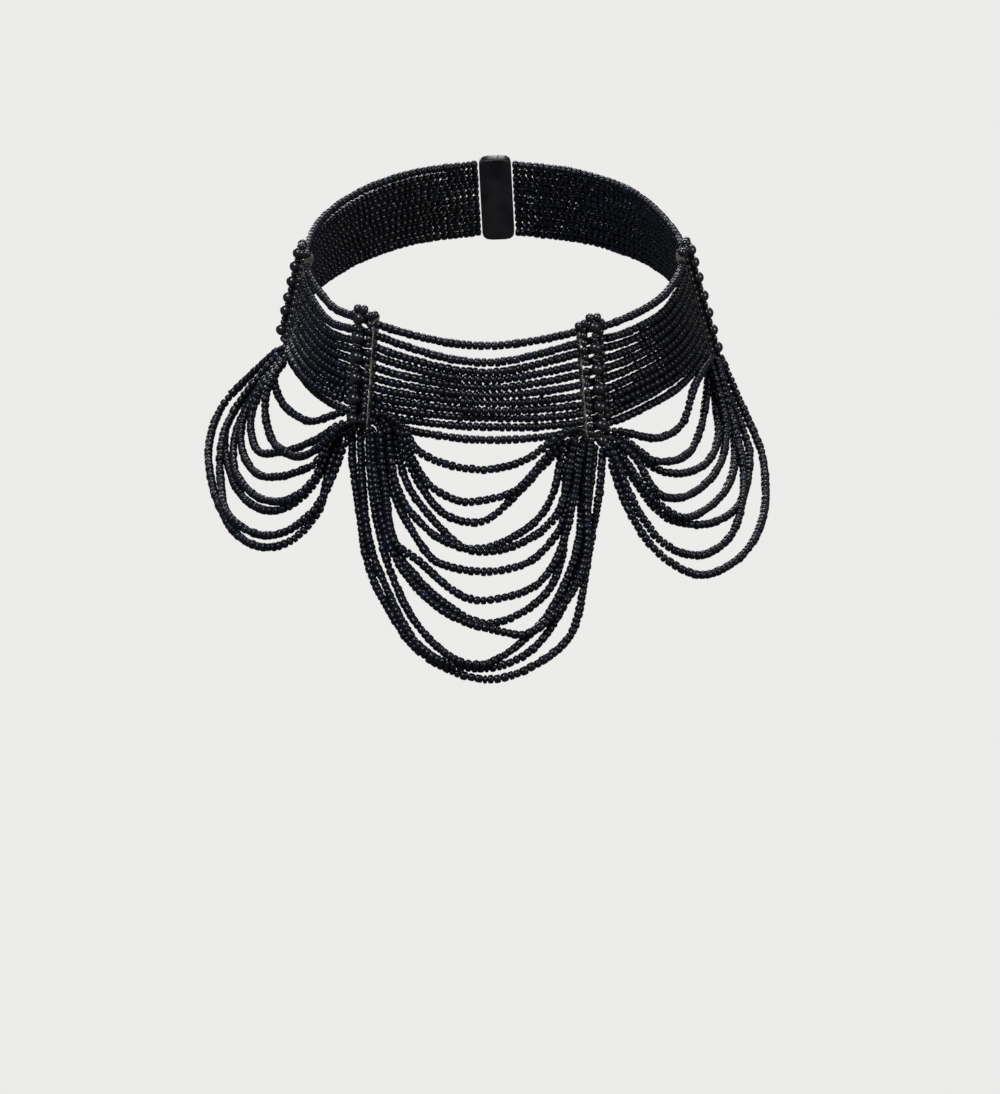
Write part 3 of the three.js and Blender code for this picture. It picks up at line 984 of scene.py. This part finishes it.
@dataclass
class Swag:
    """A string of beads that hangs on the chest, from one bar to the next."""

    name: str
    tray: BeadTray
    finishes: Finishes
    mixture: BeadMixture = BeadMixture(spread=0.055, tilt=0.09, wander=0.09 * MM, round_share=0.07)

    def __post_init__(self) -> None:
        """Reads the swag's line from its solid."""
        self.line = Line(Solid(self.name).middle_points())

    def build(self) -> None:
        """Makes the swag's piece."""
        dice = np.random.default_rng(sum(ord(letter) * (i + 1) for i, letter in enumerate(self.name)))
        beads = self.mixture.fill(self.line, 0.0, self.line.length, dice)
        piece = self.tray.joined(f"{self.name}_beads", beads)
        settle(piece, self.finishes.seed, [self.name])


@dataclass
class SwagRoots:
    """Where the swags' threads run on to the lower ends of the bars, with beads as far as there is room."""

    bars: list["SpacerBar"]
    swags: list[Swag]
    lowest_string: Line
    tray: BeadTray
    finishes: Finishes
    radius: float = 1.05 * MM
    pitch: float = 1.9 * MM
    string_room: float = 2.0 * MM
    bead_room: float = 1.75 * MM
    own_end: float = 2.2 * MM
    first_part: float = 0.6
    closeness: float = 0.92
    bend_part: float = 0.45
    bow: float = 0.25

    def __post_init__(self) -> None:
        """Draws the thread from each end of each swag to the nearest bar."""
        self.runs = [run for swag in self.swags for run in self._runs(swag.line)]

    def _runs(self, line: Line) -> list[Line]:
        """The threads that go on from both ends of a swag."""
        ends = [(line.at(0.0), -line.way(0.0)), (line.at(line.length), line.way(line.length))]
        runs = []
        for end, way in ends:
            knots = [bar.lower_end() for bar in self.bars]
            reach, nearest = min((float(np.linalg.norm(spot - end)), i) for i, spot in enumerate(knots))
            knot = knots[nearest]
            bend = end + (knot - end) * self.bend_part + way * reach * self.bow
            runs.append(Line(np.array([end, bend, knot])))
        return runs

    def beads(self) -> list[Bead]:
        """The beads on those threads, each where no other is in its way."""
        dice = np.random.default_rng(77)
        strings = np.concatenate([self.lowest_string.points, *[swag.line.points for swag in self.swags]])
        beads: list[Bead] = []
        for run in sorted(self.runs, key=lambda line: line.length):
            near = strings[np.linalg.norm(strings - run.points[0], axis=1) > self.own_end]
            for at in np.arange(self.pitch * self.first_part, run.length, self.pitch):
                if self._clear(run.at(float(at)), near, beads):
                    beads.append(self._bead(run, float(at), dice))
        return beads

    def _clear(self, spot: Array, strings: Array, beads: list[Bead]) -> bool:
        """Says whether a bead at a spot has room among the strings, these beads and the bars' own."""
        if np.linalg.norm(strings - spot, axis=1).min() <= self.string_room:
            return False
        if any(np.linalg.norm(spot - bead.centre) <= self.bead_room for bead in beads):
            return False
        others = (bead for bar in self.bars for bead in bar.beads)
        rooms = ((bead.centre, self.closeness * (bead.radius + self.radius)) for bead in others)
        return all(np.linalg.norm(spot - centre) > room for centre, room in rooms)

    def _bead(self, run: Line, at: float, dice: np.random.Generator) -> Bead:
        """One small bead on a thread."""
        radius = self.radius * float(dice.uniform(0.9, 1.06))
        tone = float(dice.uniform(0, 1))
        return Bead(run.at(at), run.way(at), radius, 0.8 * radius, Kind.BARREL, tone=tone)

    def build(self) -> None:
        """Makes the beads' piece."""
        piece = self.tray.joined("swag_root_beads", self.beads())
        settle(piece, self.finishes.seed)


# Bars and their round beads


@dataclass(frozen=True)
class ClusterSpot:
    """A bead gathered at the top of a column, in mm from the middle of the column's top bead."""

    aside: float
    down: float
    out: float
    radius: float


@dataclass
class SpacerBar:
    """A drilled metal strip, its column of round beads and the small beads gathered at its ends."""

    axes: BarAxes
    tray: BeadTray
    finishes: Finishes
    round_radius: float = 1.95 * MM
    small_radius: float = 0.95 * MM
    small_length: float = 1.5 * MM
    cap_radius: float = 1.4 * MM
    side_radius: float = 1.2 * MM
    side_pitch: float = 2.2 * MM
    side_spots: tuple[tuple[float, float], ...] = ((1.25, 1.0), (6.9, 0.7))
    side_clear: float = 0.75
    thinner: float = 0.45
    width: float = 2.5 * MM
    first_cut: float = 1.2 * MM
    cut_step: float = 1.3 * MM
    edge_round: float = 0.09 * MM
    wave: float = 0.2 * MM
    wave_length: float = 5.2 * MM
    cluster: tuple[ClusterSpot, ...] = (
        ClusterSpot(2.75, -0.7, -0.9, 1.35),
        ClusterSpot(1.5, -2.6, -0.7, 1.4),
        ClusterSpot(-0.95, -2.9, -0.5, 1.45),
        ClusterSpot(-2.75, -1.5, -0.6, 1.3),
    )

    def __post_init__(self) -> None:
        """Threads the column and gathers the small beads at both ends of the bar."""
        dice = np.random.default_rng(len(self.axes.name) * 31 + len(self.axes.rounds))
        self.rounds = [self._round(spot, dice) for spot in self.axes.rounds]
        pairs = zip(self.axes.rounds, self.axes.rounds[1:])
        smalls = [bead for above, below in pairs for bead in self._between(above, below)]
        self.beads = [*self.rounds, *smalls, *self._gathered(), *self._caps(), *self._beside(dice)]

    def build(self) -> None:
        """Makes the bar's pieces."""
        self._strip()
        piece = self.tray.joined(f"{self.axes.name}_round_glass", self.beads)
        settle(piece, self.finishes.round, [f"{self.axes.name}_round_beads"])

    def lower_end(self) -> Array:
        """The middle of the strip's lower end."""
        return self.axes.centre + self.axes.down * (self.axes.bottom - 0.6 * MM)

    def _strip(self) -> None:
        """Makes the strip from a copy of its solid: thinner, narrower, wavy and with rounded edges."""
        node = f"{self.axes.name}_bar"
        piece = joined_copy(node, f"{self.axes.name}_strip")
        middle, aside = Vector(self.axes.centre), Vector(self.axes.aside)
        down, out = Vector(self.axes.down), Vector(self.axes.out)
        for cut in np.arange(self.axes.top + self.first_cut, self.axes.bottom, self.cut_step):
            cut_across(middle + down * float(cut), down)
        close_up(piece)
        inner = min((vertex.co - middle).dot(out) for vertex in piece.data.vertices)
        for vertex in piece.data.vertices:
            offset = vertex.co - middle
            height = offset.dot(down)
            sway = math.sin(math.tau * height / self.wave_length) + 0.6 * math.sin(2.7 + 910 * height)
            proud = max(0.0, offset.dot(out) - inner - self.width)
            shift = offset.dot(aside) * (self.thinner - 1) + sway * self.wave / 2
            vertex.co += aside * shift - out * proud
        round_edges(piece, self.edge_round, 2, 40)
        settle(piece, self.finishes.bar, [node])

    def _round(self, spot: Array, dice: np.random.Generator) -> Bead:
        """A round bead of the column, a little tilted."""
        radius = self.round_radius * float(dice.uniform(0.965, 1.0))
        tilt = unit(self.axes.down + dice.normal(0, 0.05, 3))
        return Bead(spot, tilt, radius, radius, Kind.ROUND, tone=float(dice.uniform(0, 1)))

    def _between(self, above: Array, below: Array) -> list[Bead]:
        """The small beads that fill the thread between two round ones."""
        gap = float(np.linalg.norm(below - above)) - 2 * self.round_radius
        count = max(1, round(gap / self.small_length))
        way = unit(below - above)
        half = gap / count / 2
        middles = [above + way * (self.round_radius + half * (2 * i + 1)) for i in range(count)]
        return [Bead(spot, way, self.small_radius, 1.06 * half, Kind.BARREL, tone=0.5) for spot in middles]

    def _gathered(self) -> list[Bead]:
        """The beads that hug the top bead."""
        beads = []
        top = self.axes.rounds[0]
        for place in self.cluster:
            spot = self.axes.moved(top, place.aside * MM, place.down * MM, place.out * MM)
            around = unit(np.cross(spot - top, self.axes.out))
            radius = place.radius * MM
            beads.append(Bead(spot, around, radius, FLATNESS * radius, Kind.SMALL_ROUND, tone=0.4))
        return beads

    def _beside(self, dice: np.random.Generator) -> list[Bead]:
        """The small beads down both sides of the column, in among the round ones."""
        beads = []
        base = self.axes.among_strings()
        for aside, out in self.side_spots:
            for down in np.arange(self.axes.top + self.side_radius, self.axes.bottom, self.side_pitch):
                height = float(down + dice.uniform(-0.2, 0.2) * MM)
                spot = self.axes.moved(base, aside * MM, height, out * MM)
                radius = self.side_radius * float(dice.uniform(0.9, 1.08))
                away = min(float(np.linalg.norm(spot - bead.centre)) - bead.radius for bead in self.rounds)
                if away > self.side_clear * radius:
                    tilt = unit(self.axes.down + dice.normal(0, 0.12, 3))
                    tone = float(dice.uniform(0, 1))
                    beads.append(Bead(spot, tilt, radius, 0.95 * radius, Kind.SMALL_ROUND, tone=tone))
        return beads

    def _caps(self) -> list[Bead]:
        """The bead at each end of the strip."""
        radius = self.cap_radius
        middle = self.axes.among_strings()
        spots = [
            middle + self.axes.down * (self.axes.top + 0.1 * radius) + self.axes.out * 0.6 * radius,
            middle + self.axes.down * (self.axes.bottom + 0.6 * radius),
        ]
        return [
            Bead(spot, self.axes.aside, radius, 0.9 * radius, Kind.SMALL_ROUND, tone=0.6)
            for spot in spots
        ]


# Threads


@dataclass
class Threads:
    """The bare threads that the beads of several strings are strung on, as one piece."""

    name: str
    finishes: Finishes
    lines: list[Line]
    radius: float = 0.3 * MM
    sides: int = 6
    step: float = 2.2 * MM

    def build(self) -> None:
        """Makes the piece from curves of that thickness."""
        curve = bpy.data.curves.new(self.name, "CURVE")
        curve.dimensions = "3D"
        curve.bevel_depth = self.radius
        curve.bevel_resolution = self.sides // 2 - 1
        curve.resolution_u = 1
        curve.use_fill_caps = True
        for line in self.lines:
            count = max(2, round(line.length / self.step))
            spline = curve.splines.new("POLY")
            spline.points.add(count)
            for i, point in enumerate(spline.points):
                point.co = (*line.at(line.length * i / count), 1.0)
        rope = bpy.data.objects.new(self.name, curve)
        bpy.context.scene.collection.objects.link(rope)
        take(rope)
        bpy.ops.object.convert(target="MESH")
        settle(bpy.context.object, self.finishes.thread)


# Clasp


@dataclass
class Clasp:
    """The plain clasp at the nape: a rounded plate with a raised face and a fine parting line."""

    finishes: Finishes
    node: str = "clasp"
    groove_width: float = 0.35 * MM
    groove_depth: float = 0.3 * MM
    rim: float = 1.1 * MM
    rise: float = 0.35 * MM
    edge_round: float = 0.4 * MM

    def build(self) -> None:
        """Makes the clasp from a joined copy of its solid."""
        piece = joined_copy(self.node, "clasp_plate")
        solid = Solid(self.node)
        out = Vector(solid.broadest())
        out = out if out.y > 0 else -out
        middle = Vector(solid.points.mean(axis=0))
        pick(piece, Part.FACES, lambda face: face.normal.dot(out) > 0.99)
        bpy.ops.mesh.inset(thickness=self.rim, depth=0)
        bpy.ops.mesh.inset(thickness=0.3 * MM, depth=self.rise)
        across = Vector((1.0, 0.0, 0.0))
        for shift in (-self.groove_width / 2, 0.0, self.groove_width / 2):
            cut_across(middle + across * shift, across)
        shape = bmesh.from_edit_mesh(piece.data)
        for vertex in shape.verts:
            in_groove = abs((vertex.co - middle).dot(across)) < 0.1 * self.groove_width
            if in_groove and vertex.normal.dot(out) > 0.3:
                vertex.co -= out * self.groove_depth
        bmesh.update_edit_mesh(piece.data)
        close_up(piece)
        round_edges(piece, self.edge_round, 3, 50)
        settle(piece, self.finishes.clasp, [self.node])


# Studio


@dataclass(frozen=True)
class Lamp:
    """A soft lamp: where it stands, its width, its power and its colour."""

    name: str
    place: tuple[float, float, float]
    width: float
    power: float
    colour: tuple[float, float, float] = (1.0, 1.0, 1.0)


@dataclass
class Studio:
    """The pale floor, the soft light and the camera."""

    finishes: Finishes
    target: tuple[float, float, float] = (0.0, -0.02, -0.06)
    floor_level: float = -1.3
    floor_size: float = 24.0
    middle_x: float = 0.6 * MM
    middle_z: float = -90.0 * MM
    subject_y: float = -45 * MM
    distance: float = 4.0
    half_height: float = 166.3 * MM
    backdrop: Colour = (0.84, 0.835, 0.825, 1)
    sky: Colour = (0.9, 0.93, 1.0, 1)
    sky_light: float = 0.09
    lamps: tuple[Lamp, ...] = (
        Lamp("key_lamp", (-1.1, -2.0, 1.7), 0.8, 40, (0.93, 0.96, 1.0)),
        Lamp("fill_lamp", (1.9, -1.4, 0.7), 0.8, 15, (1.0, 0.94, 0.85)),
        Lamp("top_lamp", (0.2, 0.9, 2.3), 1.3, 30),
        Lamp("back_lamp", (-0.8, 2.3, 1.2), 1.2, 25),
    )

    def build(self) -> None:
        """Makes the floor, the lamps, the backdrop and the camera."""
        self._floor()
        for lamp in self.lamps:
            self._lamp(lamp)
        self._world()
        self._camera()

    def _floor(self) -> None:
        """Lays the floor, which is seen but lights nothing."""
        clear_selection()
        place = (0.0, 0.0, self.floor_level)
        bpy.ops.mesh.primitive_plane_add(size=self.floor_size, location=place)
        floor = bpy.context.object
        floor.name = "floor"
        floor.data.materials.append(self.finishes.floor)
        floor.visible_diffuse = False
        floor.visible_glossy = False

    def _lamp(self, lamp: Lamp) -> None:
        """Hangs a lamp that faces the necklace."""
        data = bpy.data.lights.new(lamp.name, "AREA")
        data.shape = "DISK"
        data.size = lamp.width
        data.energy = lamp.power
        data.color = lamp.colour
        holder = bpy.data.objects.new(lamp.name, data)
        bpy.context.scene.collection.objects.link(holder)
        holder.location = lamp.place
        way = Vector(self.target) - Vector(lamp.place)
        holder.rotation_euler = way.to_track_quat("-Z", "Y").to_euler()
        holder.visible_camera = False

    def _world(self) -> None:
        """Sets a pale backdrop that adds only a little light."""
        world = bpy.data.worlds.new("pale_backdrop")
        sheet = NodeSheet(world)
        shown = sheet.node("ShaderNodeBackground", {}, {"Color": self.backdrop, "Strength": 1.0})[0]
        soft = sheet.node("ShaderNodeBackground", {}, {"Color": self.sky, "Strength": self.sky_light})[0]
        seen = sheet.node("ShaderNodeLightPath")["Is Camera Ray"]
        both = sheet.node("ShaderNodeMixShader", {}, {0: seen, 1: soft, 2: shown})[0]
        sheet.node("ShaderNodeOutputWorld", {}, {"Surface": both})
        bpy.context.scene.world = world
        bpy.context.scene.view_settings.view_transform = "Standard"

    def _camera(self) -> None:
        """Sets the camera level with the middle of the frame, looking along +Y from far off."""
        data = bpy.data.cameras.new("camera")
        data.sensor_width = 36.0
        data.lens = 18.0 * self.distance / self.half_height
        data.clip_start, data.clip_end = 0.05, 60.0
        camera = bpy.data.objects.new("camera", data)
        bpy.context.scene.collection.objects.link(camera)
        camera.location = (self.middle_x, self.subject_y - self.distance, self.middle_z)
        camera.rotation_euler = (math.radians(90), 0.0, 0.0)
        bpy.context.scene.camera = camera


class Choker:
    """The whole necklace, built sub-assembly by sub-assembly."""

    bar_names = ("left_side", "left_front", "right_front", "right_side")

    def __init__(self) -> None:
        """Models the beads, mixes the finishes and reads the solids."""
        finishes, tray = Finishes(), BeadTray()
        axes = [BarAxes(name) for name in self.bar_names]
        nodes = sorted(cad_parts)
        numbers = [int(name[-2:]) for name in nodes if name.startswith("collar_string_")]
        self.finishes = finishes
        self.bars = [SpacerBar(bar, tray, finishes) for bar in axes]
        columns = [bead for bar in self.bars for bead in bar.beads]
        self.strings = [CollarString(number, tray, finishes, axes, columns) for number in numbers]
        self.swags = [Swag(name, tray, finishes) for name in nodes if "_swag_" in name]
        self.roots = SwagRoots(self.bars, self.swags, self.strings[-1].line, tray, finishes)

    def build(self) -> None:
        """Makes every piece."""
        for part in (*self.strings, *self.swags, *self.bars, self.roots):
            part.build()
        swag_lines = [swag.line for swag in self.swags] + self.roots.runs
        Threads("collar_threads", self.finishes, [string.line for string in self.strings]).build()
        Threads("swag_threads", self.finishes, swag_lines).build()
        Clasp(self.finishes).build()


def main() -> None:
    """Builds the necklace and its studio."""
    logging.basicConfig(level=logging.INFO, format="%(name)s: %(message)s")
    choker = Choker()
    choker.build()
    Studio(choker.finishes).build()
    LOG.info("done")


if __name__ == "__main__":
    main()
